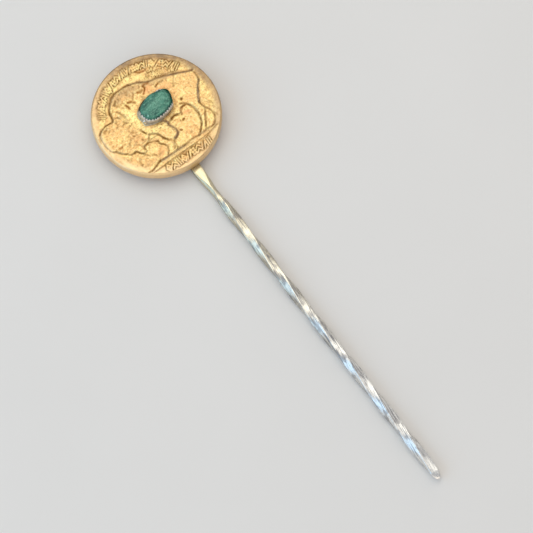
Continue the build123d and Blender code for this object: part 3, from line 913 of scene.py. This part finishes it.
def make_seam_bead(material):
    """The bright bead down the strip's joint, in two lumps, with a spur on the base plate."""
    joint = np.array(STONE_PLAN[-1]) + SETTING
    loop = setting_loop(0)
    index = int(np.argmin(np.linalg.norm(loop - joint, axis=1)))
    out = loop_normals(loop)[index]
    side = np.array([out[1], -out[0]])
    middle = loop[index] + out * (STRIP_GAP + STRIP_WALL + 0.10)
    around = 28
    levels = 22
    low, high = BASE_TOP_Z - 0.06, STRIP_TOP_Z - 0.16
    verts = []
    for k in range(levels):
        share = k / (levels - 1)
        ends = np.sqrt(max(0.0, 1 - (2 * share - 1) ** 8)) * 0.97 + 0.03
        waist = 1 - 0.34 * np.exp(-(((share - 0.50) / 0.11) ** 2))
        wide = 0.23 * ends * waist * (1.1 - 0.2 * share)
        deep = 0.20 * ends * waist
        drift = 0.10 - 0.26 * share
        for a in np.arange(around) / around * tau:
            bump = 1 + 0.07 * sin(3 * a + 5 * share) + 0.04 * sin(5 * a - 9 * share)
            spot = middle + out * (0.03 + deep * cos(a) * bump) - side * (drift + wide * sin(a) * bump)
            verts.append((spot[0], spot[1] + COIN_Y, low + (high - low) * share))
    faces = ring_faces(levels, around, flip=True)
    faces += [lid(0, around), lid((levels - 1) * around, around, flip=True)]
    piece("setting_seam_bead", verts, faces, material, "seam_solder", sharp=None)


# Ground facets round the crown: the way each one faces, its tilt, and its reach from the middle.
FACETS = [
    (38, 34, 2.15), (8, 44, 2.30), (-24, 46, 2.05), (-50, 40, 1.78), (66, 26, 1.55), (98, 26, 1.42),
    (140, 28, 1.80), (176, 30, 2.25), (205, 34, 2.10), (240, 32, 1.72), (275, 36, 1.62),
]
# Small pits in the crown: place in the stone's plan, width and depth.
PITS = [
    (-2.33, -0.56, 0.16, 0.12), (-1.75, -0.25, 0.10, 0.04), (-1.5, 0.75, 0.13, 0.05),
    (1.2, -0.9, 0.15, 0.04), (0.9, 1.1, 0.18, 0.03), (-2.0, 0.2, 0.12, 0.05),
    (-0.6, 1.2, 0.14, 0.03), (0.3, -1.3, 0.14, 0.03), (-2.25, 0.45, 0.16, 0.06),
    (2.1, 0.2, 0.12, 0.05), (1.9, -0.6, 0.12, 0.05), (0.2, 0.4, 0.10, 0.03),
    (-0.6, -0.9, 0.12, 0.03), (1.3, 0.3, 0.10, 0.03), (-1.0, -1.45, 0.14, 0.05),
]


def pitted(x, y):
    """How deep the pits are at points in the stone's plan."""
    return sum(depth * np.exp(-((x - px) ** 2 + (y - py) ** 2) / size**2) for px, py, size, depth in PITS)


def crown(x, y, scale):
    """Heights round the crown at a share of the rim's size: a low dome cut by facets and pits."""
    top = STONE_LOW_Z + STONE_RISE * (0.66 + 0.33 * (1 - scale**2.4) ** 0.6)
    for turn, tilt, reach in FACETS:
        out = x * cos(radians(turn)) + y * sin(radians(turn))
        plane = STONE_LOW_Z + STONE_RISE * 0.96 - (out - reach) * np.tan(radians(tilt))
        top = -FACET_SOFTNESS * np.logaddexp(-top / FACET_SOFTNESS, -plane / FACET_SOFTNESS)
    top += 0.012 * np.sin(2.1 * x + 1.3 * y + 0.6) + 0.008 * np.sin(3.3 * y - 1.7 * x)
    return np.minimum(top - pitted(x, y), STONE_TOP_Z - 0.005)


def make_stone(material):
    """A worn green stone: its far edge overhangs the strip, its low crown has ground facets."""
    count = STONE_STATIONS
    rings = 46
    loop = plan_loop(count)
    normal = loop_normals(loop)
    near = pressed(count)
    clear = shaded_arc(count)
    chips = 0.03 * wobble(count, [17, 29, 43, 61], 51)
    verts = []
    # the side, from the foot up: inset, share of the height, and how far the lip stands out
    side = [(-0.25, 0.0, 0), (-0.06, 0.04, 0), (-0.02, 0.18, 0), (-0.02, 0.40, 0.3), (-0.03, 0.50, 1.0),
            (-0.05, 0.58, 1.1), (-0.10, 0.64, 1.0)]
    for inset, share, lip in side:
        overhang = (1 - near) * (1 - clear) * (STONE_LIP + chips)
        grown = inset + lip * overhang - 0.04 * lip * near + 0.3 * chips
        ring = loop + normal * grown[:, None]
        verts.append(np.column_stack([ring, np.full(count, STONE_LOW_Z + share * STONE_RISE)]))
    levels = len(verts)
    rim = verts[-1][:, :2]
    for k in range(1, rings):
        scale = 1 - k / rings
        x, y = rim[:, 0] * scale, rim[:, 1] * scale
        verts.append(np.column_stack([x, y, crown(x, y, scale)]))
    verts = np.vstack(verts)
    verts = np.vstack([verts, verts[-count:].mean(0)])
    total = levels + rings - 1
    last = (total - 1) * count
    faces = ring_faces(total, count)
    faces += fan(last, count, total * count)
    faces.append(lid(0, count, flip=True))
    x, y = verts[:, 0].copy(), verts[:, 1].copy()
    level = np.append(np.repeat(np.clip(np.arange(total) - levels + 1, 0, rings) / rings, count), 1)
    lower_right = np.clip(0.6 + 0.4 * (0.55 * x - 0.84 * y) / 1.5, 0.35, 1)
    verts[:, :2] += SETTING + (0, COIN_Y)
    stone = piece("green_stone", verts, faces, material, "stone", sharp=30.0)
    glint = ((0.8 * x - 0.6 * y + 1.19) / 0.08) ** 4 + ((0.6 * x + 0.8 * y + 2.02) / 0.17) ** 4
    # Painted shade at the foot of the crown, most at the lower right; a painted highlight along the lower
    # right shoulder; a painted glint on the crown.
    store(stone, {
        "edge": (1 - rise(0.02, 0.17, level)) * lower_right,
        "crest_highlight": np.exp(-(((level - 0.20) / 0.025) ** 2)) * rise(0.55, 0.95, lower_right),
        "pale": np.exp(-(((y - 0.10 - 0.16 * x) / 0.75) ** 2) - ((x - 0.1) / 1.8) ** 2),
        "painted_glint": np.exp(-glint),
        "pits": 9 * pitted(x, y),
    })


# ---- the stem and its solder


def section(half_wide, half_thick, cuts, swell, soft):
    """A rectangle with cut corners and swollen faces, 32 points, from the front right corner round."""
    signs = [(1, 1), (-1, 1), (-1, -1), (1, -1)]
    ends = []
    for k, ((sx, sz), cut) in enumerate(zip(signs, cuts)):
        x, z = sx * half_wide, sz * half_thick
        on_side = np.array([x, z - sz * cut])
        on_face = np.array([x - sx * cut, z])
        ends.append((on_side, on_face) if k % 2 == 0 else (on_face, on_side))
    out = []
    for k, (first, last) in enumerate(ends):
        bulge = 0.10 * cuts[k] * np.array(signs[k])
        for t in (0, 0.33, 0.67, 1):
            out.append(first + (last - first) * t + bulge * 4 * t * (1 - t))
        following = ends[(k + 1) % 4][0]
        outward = (last + following) / np.linalg.norm(last + following)
        for t in (0.06 + 0.18 * soft, 0.35 + 0.08 * soft, 0.65 - 0.08 * soft, 0.94 - 0.18 * soft):
            out.append(last + (following - last) * t + outward * swell * 4 * t * (1 - t))
    return np.array(out)


def untwisted_ring(below):
    """The wire's outline before it is twisted, at a distance below the coin's lower edge."""
    square = rise(TWIST_START - 4.4, TWIST_START + 0.8, below)
    waist = WAIST * np.exp(-(((below - TWIST_START) / 2.0) ** 2))
    side = WIRE_SIDE - NECK_THINNING + NECK_THINNING * rise(6.0, 34.0, below)
    half_wide = (SHANK_WIDTH * (1 - square) + side * square) / 2 - waist
    half_thick = (SHANK_THICKNESS * (1 - square) + side * square) / 2 - 0.5 * waist
    fade = 1 - rise(4.0, 9.5, below)
    left = CORNER_CUT + 0.42 * rise(0.3, 4.2, below) * fade
    right = CORNER_CUT + 0.46 * rise(1.0, 4.0, below) * fade
    soft = rise(6.0, 14.0, below)
    worn = CORNER_CUT - 0.04 * soft
    cuts = (max(right, worn), max(left, worn), worn, worn)
    return section(half_wide, half_thick, cuts, 0.022 * soft, soft)


def twist_angle(below):
    """How far the wire has turned there, in radians: nothing at first, then tighter and tighter."""
    along = below - TWIST_START
    turns = max(0.0, along) * rise(-1.2, 1.6, along) / QUARTER_TURN
    return (turns + TIGHTENING * turns * turns) * pi / 2


def wire_dents(below, phases):
    """Shallow dents in the wire's faces and corners, as shares of its size; none behind the coin."""
    dents = np.zeros(AROUND_STEM)
    for k in range(4):
        lump = sum(sin(below * f + phases[k][m]) for m, f in enumerate((0.9, 1.7, 3.1, 5.3))) / 4
        dents[k * 8 + 4:k * 8 + 8] += 0.018 * lump - 0.008
        dents[k * 8:k * 8 + 4] += 0.010 * sin(below * 2.3 + phases[k][0]) - 0.008
    return dents * np.clip(below / 2, 0, 1)


def make_stem(material):
    """One wire: flat shank, bevelled waist, a right-handed twist, and a short blunt point."""
    tip_run = np.linspace(0, 1, 16)[:-1]
    stations = np.concatenate([np.arange(SHANK_END_Y, 0, -0.35), np.arange(0, TIP_Y + POINT_LENGTH, -0.16),
                               TIP_Y + POINT_LENGTH * (1 - tip_run) ** 1.8])
    phases = np.random.default_rng(4).uniform(0, tau, (4, 4))
    verts, unwound = [], []
    for y in stations:
        ring = untwisted_ring(-y) * (1 + wire_dents(-y, phases))[:, None]
        to_tip = (y - TIP_Y) / POINT_LENGTH
        ring *= np.clip(to_tip, 0.01, 1) ** POINT_FULLNESS
        c, s = cos(twist_angle(-y)), sin(twist_angle(-y))
        x = ring[:, 0] * c - ring[:, 1] * s
        z = ring[:, 0] * s + ring[:, 1] * c
        verts.append(np.column_stack([x, np.full(AROUND_STEM, y), z]))
        unwound.append(np.column_stack([ring[:, 0], np.full(AROUND_STEM, y), ring[:, 1]]))
    verts.append(np.array([[0, TIP_Y, 0]]))
    unwound.append(verts[-1])
    verts = np.vstack(verts)
    total = len(stations)
    faces = ring_faces(total, AROUND_STEM)
    faces += fan((total - 1) * AROUND_STEM, AROUND_STEM, total * AROUND_STEM)
    faces.append(lid(0, AROUND_STEM, flip=True))
    stem = piece("twisted_stem", verts, faces, material, "stem", sharp=50.0)
    rest = (np.vstack(unwound) * MM).astype(np.float32).ravel()
    stem.data.attributes.new("unwound", "FLOAT_VECTOR", "POINT").data.foreach_set("vector", rest)
    below = -verts[:, 1]
    on_bevel = np.append(np.tile(np.isin(np.arange(AROUND_STEM), (0, 1, 2, 3, 8, 9, 10, 11)), total), False)
    across = np.abs(verts[:, 0]) / np.maximum(np.hypot(verts[:, 0], verts[:, 2]), 0.01)
    # Painted shade: the coin's shadow across the shank's first millimetre, darker bevels near the head, and
    # darker sides down the upper stem.
    shade_mask = np.maximum(1 - rise(0.35, 0.9, below), 0.55 * on_bevel * (1 - rise(4.0, 8.0, below)))
    shade_mask = np.maximum(shade_mask, 0.6 * rise(0.35, 0.95, across) * (1 - 0.85 * rise(18, 48, below)))
    # painted reflection of the gold coin, strongest on the shank and fading down the stem
    reflected_gold = 1 - 0.45 * rise(0, 14, below) - 0.55 * rise(12, 42, below)
    polish = np.maximum(rise(0.7, 1.0, reflected_gold), 0.8 * rise(55.5, 60, below))
    store(stem, {"painted_gold_reflection": reflected_gold, "painted_shade": shade_mask, "polish": polish})


def make_stem_solder(material):
    """Solder along both sides of the shank, hollowed and uneven, running out round its end."""
    low_y, high_y = solder_low.y, solder_high.y
    top_z = BACK_Z + BACK_HOLLOW + 0.01
    seat_z = min(SHANK_THICKNESS / 2, top_z - 0.01)
    stations = 70
    phase = np.random.default_rng(9).uniform(0, tau, 8)
    verts = []
    for k in range(stations):
        share = k / (stations - 1)
        y = low_y + (high_y - low_y) * share
        past_end = max(0.0, y - SHANK_END_Y) / (high_y - SHANK_END_Y)
        taper = np.sqrt(max(0.0, 1 - (2 * share - 1) ** 10)) * 0.97 + 0.03
        half = SHANK_WIDTH / 2 * np.sqrt(max(0.0, 1 - past_end**2)) * 0.98 + 0.02
        sides = []
        for sign in (-1, 1):
            far = 0.42 + 0.16 * sin(y * 1.3 + phase[1 + sign]) + 0.08 * sin(y * 3.1 + phase[4 + sign])
            drop = 0.36 + 0.10 * sin(y * 0.9 + phase[2 + sign])
            far, drop = far * taper, drop * taper * (1 - 0.8 * past_end)
            steps = np.linspace(0, 1, 7)
            sides.append([(sign * (half + far * (1 - t)), top_z - drop * t**2.2) for t in steps])
        left, right = sides
        verts += [(x, y, z) for x, z in left + [(-half, seat_z), (half, seat_z)] + right[::-1]]
    count = 16
    faces = ring_faces(stations, count)
    faces += [lid(0, count, flip=True), lid((stations - 1) * count, count)]
    piece("stem_solder_seam", verts, faces, material, "stem_solder")


# ---- materials


class Nodes:
    """Small helper for building a material's nodes in reading order."""

    def __init__(self, name):
        self.material = bpy.data.materials.new(name)
        self.material.use_nodes = True
        self.tree = self.material.node_tree
        self.tree.nodes.clear()
        out = self.new("OutputMaterial")
        self.shader = self.new("BsdfPrincipled")
        self.link(self.shader.outputs[0], out.inputs["Surface"])
        self.place = self.new("TexCoord").outputs["Object"]

    def new(self, kind):
        return self.tree.nodes.new("ShaderNode" + kind)

    def link(self, source, target):
        self.tree.links.new(source, target)

    def set(self, **values):
        for key, value in values.items():
            self.shader.inputs[key.replace("_", " ")].default_value = value

    def surface(self, **sources):
        """The finished colour, roughness and normal, wired to the shader."""
        for key, source in sources.items():
            self.link(source, self.shader.inputs[key.replace("_", " ")])
        return self.material

    def scaled(self, x, y, z, turn=0, where=None):
        """Coordinates turned and scaled, for grain that runs one way."""
        node = self.new("Mapping")
        node.inputs["Rotation"].default_value = (0, 0, radians(turn))
        node.inputs["Scale"].default_value = (x, y, z)
        self.link(where or self.place, node.inputs["Vector"])
        return node.outputs[0]

    def noise(self, size_mm, detail=4.0, rough=0.55, where=None, twist=0.0):
        node = self.new("TexNoise")
        node.inputs["Scale"].default_value = 1 / (size_mm * MM)
        node.inputs["Detail"].default_value = detail
        node.inputs["Roughness"].default_value = rough
        node.inputs["Distortion"].default_value = twist
        self.link(where or self.place, node.inputs["Vector"])
        return node.outputs["Fac"]

    def attribute(self, name, output="Fac"):
        node = self.new("Attribute")
        node.attribute_name = name
        return node.outputs[output]

    def remap(self, source, low, high, to_low=0.0, to_high=1.0):
        node = self.new("MapRange")
        node.interpolation_type = "SMOOTHSTEP"
        for key, value in zip(("From Min", "From Max", "To Min", "To Max"), (low, high, to_low, to_high)):
            node.inputs[key].default_value = value
        self.link(source, node.inputs["Value"])
        return node.outputs[0]

    def math(self, kind, a, b):
        node = self.new("Math")
        node.operation = kind
        for k, value in enumerate((a, b)):
            if isinstance(value, (int, float)):
                node.inputs[k].default_value = value
            else:
                self.link(value, node.inputs[k])
        return node.outputs[0]

    def mix(self, share, a, b):
        node = self.new("Mix")
        node.data_type = "RGBA"
        self.link(share, node.inputs["Factor"])
        for key, value in (("A", a), ("B", b)):
            socket = next(s for s in node.inputs if s.name == key and s.type == "RGBA")
            if isinstance(value, tuple):
                socket.default_value = (*value, 1)
            else:
                self.link(value, socket)
        return next(s for s in node.outputs if s.type == "RGBA")

    def stain(self, under, layer, share, tone):
        """A tone over a colour where a layer says: a stored one by name, or a socket."""
        if isinstance(layer, str):
            layer = self.attribute(layer)
        return self.mix(self.math("MULTIPLY", layer, share), under, tone)

    def mottle(self, under, tone, size_mm, low, high, share, detail=4.0):
        """A tone over a colour in soft patches of one size."""
        return self.mix(self.remap(self.noise(size_mm, detail), low, high, 0, share), under, tone)

    def bump(self, height, distance_mm, strength, under=None):
        node = self.new("Bump")
        node.inputs["Distance"].default_value = distance_mm * MM
        node.inputs["Strength"].default_value = strength
        self.link(height, node.inputs["Height"])
        if under:
            self.link(under, node.inputs["Normal"])
        return node.outputs[0]


def gilt_material():
    """Worn gilding: tan on the relief, cream where it is smooth and in painted highlights, darkened in the
    creases with patina and painted shade, with painted shade and light on the rim.
    """
    n = Nodes("worn_gilt")
    cream = (1.0, 0.81, 0.34)
    colour = n.mottle((0.90, 0.56, 0.235), cream, 2.2, 0.44, 0.66, 0.5)
    colour = n.mottle(colour, (0.84, 0.48, 0.20), 0.75, 0.50, 0.68, 0.5)
    # cream: paler gilding, and painted highlights beside the creases and on raised ornaments
    colour = n.mix(n.attribute("cream"), colour, cream)
    colour = n.mottle(colour, (1.0, 0.81, 0.42), 0.42, 0.50, 0.62, 0.60, detail=3)
    colour = n.mottle(colour, (0.62, 0.36, 0.155), 0.32, 0.50, 0.62, 0.75, detail=3)
    # painted shade in grey over the hump and back
    colour = n.stain(colour, "grey_shade", 0.85, (0.50, 0.335, 0.175))
    colour = n.stain(colour, "blush", 0.8, (0.82, 0.40, 0.18))
    patchy = n.remap(n.noise(1.5, detail=3), 0.35, 0.60, 0.7, 1.0)
    # painted shade on the rim's upper right, painted light on its lower left
    colour = n.stain(colour, "rim_shade_painted", patchy, (0.33, 0.225, 0.135))
    colour = n.stain(colour, "rim_light_painted", patchy, (1.0, 0.72, 0.40))
    broken = n.remap(n.noise(0.22, detail=5), 0.30, 0.60, 0.65, 1.0)
    umber, ash, rust = [n.math("MULTIPLY", n.attribute(name), broken) for name in ("umber", "ash", "rust")]
    # patina and painted shade in the creases
    colour = n.stain(colour, ash, 0.95, (0.30, 0.22, 0.155))
    colour = n.stain(colour, rust, 0.95, (0.42, 0.125, 0.008))
    colour = n.stain(colour, umber, 0.95, (0.27, 0.115, 0.010))
    stain = n.math("MAXIMUM", umber, n.math("MAXIMUM", ash, rust))
    rough = n.math("ADD", n.remap(n.noise(0.8), 0.3, 0.7, 0.34, 0.46), n.math("MULTIPLY", stain, 0.2))
    pitted_gilt = n.bump(n.noise(0.30, detail=4), 0.055, 0.8)
    fine = n.bump(n.noise(0.09, detail=3), 0.010, 0.5, under=pitted_gilt)
    scratch = n.noise(0.5, detail=2, where=n.scaled(1.0, 0.09, 1.0))
    return n.surface(Base_Color=colour, Metallic=n.remap(stain, 0.1, 1, 1.0, 0.8), Roughness=rough,
                     Normal=n.bump(scratch, 0.012, 0.3, under=fine))


def silver_material(name, colour, dark, rough, tarnish, metallic=1.0):
    """Worn silver with fine scratches, small dents, grey tarnish in patches, and painted shade where the
    piece stores it.
    """
    n = Nodes(name)
    n.set(Metallic=metallic)
    base = n.mottle(colour, dark, 0.9, 0.42, 0.70, tarnish, detail=5)
    # painted shade, dark, where the piece stores it
    base = n.mix(n.attribute("painted_shade"), base, (0.11, 0.11, 0.085))
    dents = n.bump(n.noise(0.4, detail=3), 0.05, 0.55)
    lines = n.noise(0.10, detail=4, where=n.scaled(1.0, 1.0, 0.25))
    return n.surface(Base_Color=base, Normal=n.bump(lines, 0.018, 0.6, under=dents),
                     Roughness=n.remap(n.noise(0.35), 0.35, 0.65, rough - 0.12, rough + 0.10))


def stem_material():
    """Polished wire with drawn lines that follow the twist, greyed here and there, with a painted
    reflection of the gold coin near the head and painted shade.
    """
    n = Nodes("stem_silver_drawn")
    n.set(Metallic=1.0)
    drawn = n.scaled(1.0, 0.055, 1.0, where=n.attribute("unwound", "Vector"))
    streak = n.noise(0.17, detail=4, rough=0.6, where=drawn)
    smear = n.noise(0.8, detail=4, where=n.scaled(1.0, 0.5, 1.0))
    clean = n.remap(n.attribute("polish"), 0, 1, 1.0, 0.25)
    # painted reflection: silver turning gold towards the coin
    base = n.mix(n.attribute("painted_gold_reflection"), (0.91, 0.90, 0.87), (0.97, 0.85, 0.55))
    base = n.stain(base, n.remap(streak, 0.50, 0.60, 0, 0.78), clean, (0.17, 0.17, 0.19))
    base = n.stain(base, n.remap(smear, 0.50, 0.62, 0, 0.64), clean, (0.31, 0.295, 0.30))
    # painted shade from the stem's stored mask
    base = n.stain(base, "painted_shade", 0.7, (0.20, 0.18, 0.14))
    dents = n.bump(n.noise(0.9, detail=2), 0.09, 0.45)
    return n.surface(Base_Color=base, Roughness=n.remap(smear, 0.3, 0.7, 0.22, 0.36),
                     Normal=n.bump(streak, 0.05, 0.7, under=dents))


def stone_material():
    """Clouded green stone: pale streaks through mid green, painted shade in deep green at the edge, a
    painted highlight along the lower right shoulder, and a painted glint.
    """
    n = Nodes("clouded_green_stone")
    n.set(Metallic=0.0, IOR=1.52, Coat_Weight=0.12, Coat_Roughness=0.25, Subsurface_Weight=0.15,
          Subsurface_Scale=0.0006, Subsurface_Radius=(0.4, 1.0, 0.7))
    deep = (0.008, 0.120, 0.080)
    light = (0.215, 0.500, 0.345)
    streaks = n.noise(0.50, detail=6, rough=0.62, where=n.scaled(0.35, 1.0, 1.0, turn=-14), twist=0.5)
    cloud = n.noise(0.9, detail=5, rough=0.6)
    colour = n.mix(n.remap(cloud, 0.38, 0.58), deep, (0.045, 0.255, 0.165))
    in_patches = n.remap(n.noise(0.7, detail=4), 0.36, 0.60, 0.30, 0.8)
    colour = n.stain(colour, "pale", in_patches, (0.140, 0.390, 0.265))
    more_within = n.remap(n.attribute("pale"), 0, 1, 0.40, 1.0)
    colour = n.stain(colour, n.remap(streaks, 0.44, 0.66), more_within, light)
    colour = n.mottle(colour, deep, 0.20, 0.52, 0.68, 0.85)
    colour = n.mottle(colour, light, 0.26, 0.55, 0.66, 0.70)
    # painted shade: deep green along the stone's edge
    in_patches = n.remap(n.noise(0.35, detail=4), 0.35, 0.60, 0.45, 1.0)
    colour = n.stain(colour, "edge", in_patches, (0.003, 0.050, 0.036))
    # painted highlight along the lower right shoulder
    colour = n.stain(colour, "crest_highlight", n.remap(n.noise(0.25, detail=3), 0.42, 0.60, 0.0, 0.8), light)
    colour = n.stain(colour, "pits", 0.8, (0.012, 0.070, 0.050))
    # painted glint on the crown
    colour = n.mix(n.attribute("painted_glint"), colour, (0.42, 0.72, 0.60))
    grainy = n.bump(n.noise(0.12, detail=4), 0.018, 0.7)
    return n.surface(Base_Color=colour, Roughness=n.remap(n.noise(0.5), 0.3, 0.7, 0.34, 0.52),
                     Normal=n.bump(n.noise(0.7, detail=3), 0.06, 0.4, under=grainy))


def floor_material():
    """Pale and matt, with a faint unevenness."""
    n = Nodes("pale_floor")
    n.set(Metallic=0.0, Roughness=0.7)
    colour = n.mix(n.noise(30, detail=3), (0.82, 0.795, 0.765), (0.86, 0.835, 0.805))
    return n.surface(Base_Color=colour, Normal=n.bump(n.noise(0.6, detail=3), 0.01, 0.2))


# ---- assembly

setting = silver_material("setting_silver_worn", (0.86, 0.80, 0.71), (0.34, 0.31, 0.27), 0.46, 0.70, 0.5)
plate = silver_material("base_silver_dull", (0.60, 0.57, 0.48), (0.26, 0.25, 0.19), 0.48, 0.9, 0.7)
solder_grey = silver_material("solder_grey", (0.58, 0.56, 0.48), (0.24, 0.23, 0.18), 0.44, 0.9)
bead_bright = silver_material("solder_bright", (0.93, 0.91, 0.86), (0.55, 0.53, 0.50), 0.24, 0.4)
make_coin(gilt_material())
make_strip(setting)
make_base(plate)
make_foot_solder(solder_grey)
make_seam_bead(bead_bright)
make_stone(stone_material())
make_stem(stem_material())
make_stem_solder(solder_grey)


# ---- floor, lights and camera, in metres

FLOOR_HALF = 0.6
FLOOR_GAP = 0.00002
CAMERA_PLACE = Vector((-0.0393, -0.0692, 0.2116))
CAMERA_AIM = Vector((-0.00085, -0.02005, 0))
CAMERA_LENS = 94.5
HEAD_TURN = 37  # how far the pin is turned in the picture, in degrees

# Soft lamps, all aimed at the origin: place, size, power and colour.
LAMPS = {
    "overhead": ((0.09, 0.12, 0.52), (0.75, 0.75), 0.95, (1.0, 0.965, 0.86)),
    "core": ((0.055, 0.19, 0.50), (0.32, 0.32), 0.235, (1.0, 0.97, 0.86)),
    "sky_left": ((-0.56, 0.15, 0.28), (0.95, 0.66), 1.9, (0.40, 0.69, 0.98)),
    "warm_right": ((0.55, 0.35, 0.22), (0.5, 0.3), 0.3, (1.0, 0.92, 0.76)),
    "warm_front": ((-0.34, -0.47, 0.18), (0.5, 0.3), 0.36, (1.0, 0.88, 0.72)),
}


def make_floor():
    """A wide pale floor just under the lowest point of the pin."""
    level = cad_box[0].z - FLOOR_GAP
    mesh = bpy.data.meshes.new("floor")
    corners = [(x * FLOOR_HALF, y * FLOOR_HALF, level) for x, y in ((-1, -1), (1, -1), (1, 1), (-1, 1))]
    mesh.from_pydata(corners, [], [(0, 1, 2, 3)])
    mesh.materials.append(floor_material())
    floor = bpy.data.objects.new("floor", mesh)
    bpy.context.scene.collection.objects.link(floor)


def make_lamps():
    """The soft lamps, and an even grey light from all round."""
    for name, (place, size, power, colour) in LAMPS.items():
        data = bpy.data.lights.new(name, "AREA")
        data.shape = "RECTANGLE"
        data.size, data.size_y = size
        data.energy = power
        data.color = colour
        lamp = bpy.data.objects.new(name, data)
        lamp.location = place
        lamp.rotation_euler = (-Vector(place)).to_track_quat("-Z", "Y").to_euler()
        bpy.context.scene.collection.objects.link(lamp)
    world = bpy.data.worlds.new("studio")
    world.use_nodes = True
    background = world.node_tree.nodes["Background"]
    background.inputs["Color"].default_value = (0.62, 0.62, 0.64, 1)
    background.inputs["Strength"].default_value = 0.76
    bpy.context.scene.world = world


def make_camera():
    """Above the stem and a little to its left, rolled so that the head is at upper left."""
    data = bpy.data.cameras.new("camera")
    data.sensor_width = 36
    data.lens = CAMERA_LENS
    data.clip_start = 0.01
    ahead = (CAMERA_AIM - CAMERA_PLACE).normalized()
    up_hint = Vector((sin(radians(HEAD_TURN)), cos(radians(HEAD_TURN)), 0))
    right = ahead.cross(up_hint).normalized()
    turn = Matrix((right, right.cross(ahead), -ahead)).transposed().to_4x4()
    camera = bpy.data.objects.new("camera", data)
    camera.matrix_world = Matrix.Translation(CAMERA_PLACE) @ turn
    bpy.context.scene.collection.objects.link(camera)
    bpy.context.scene.camera = camera


make_floor()
make_lamps()
make_camera()
bpy.context.scene.view_settings.view_transform = "Standard"
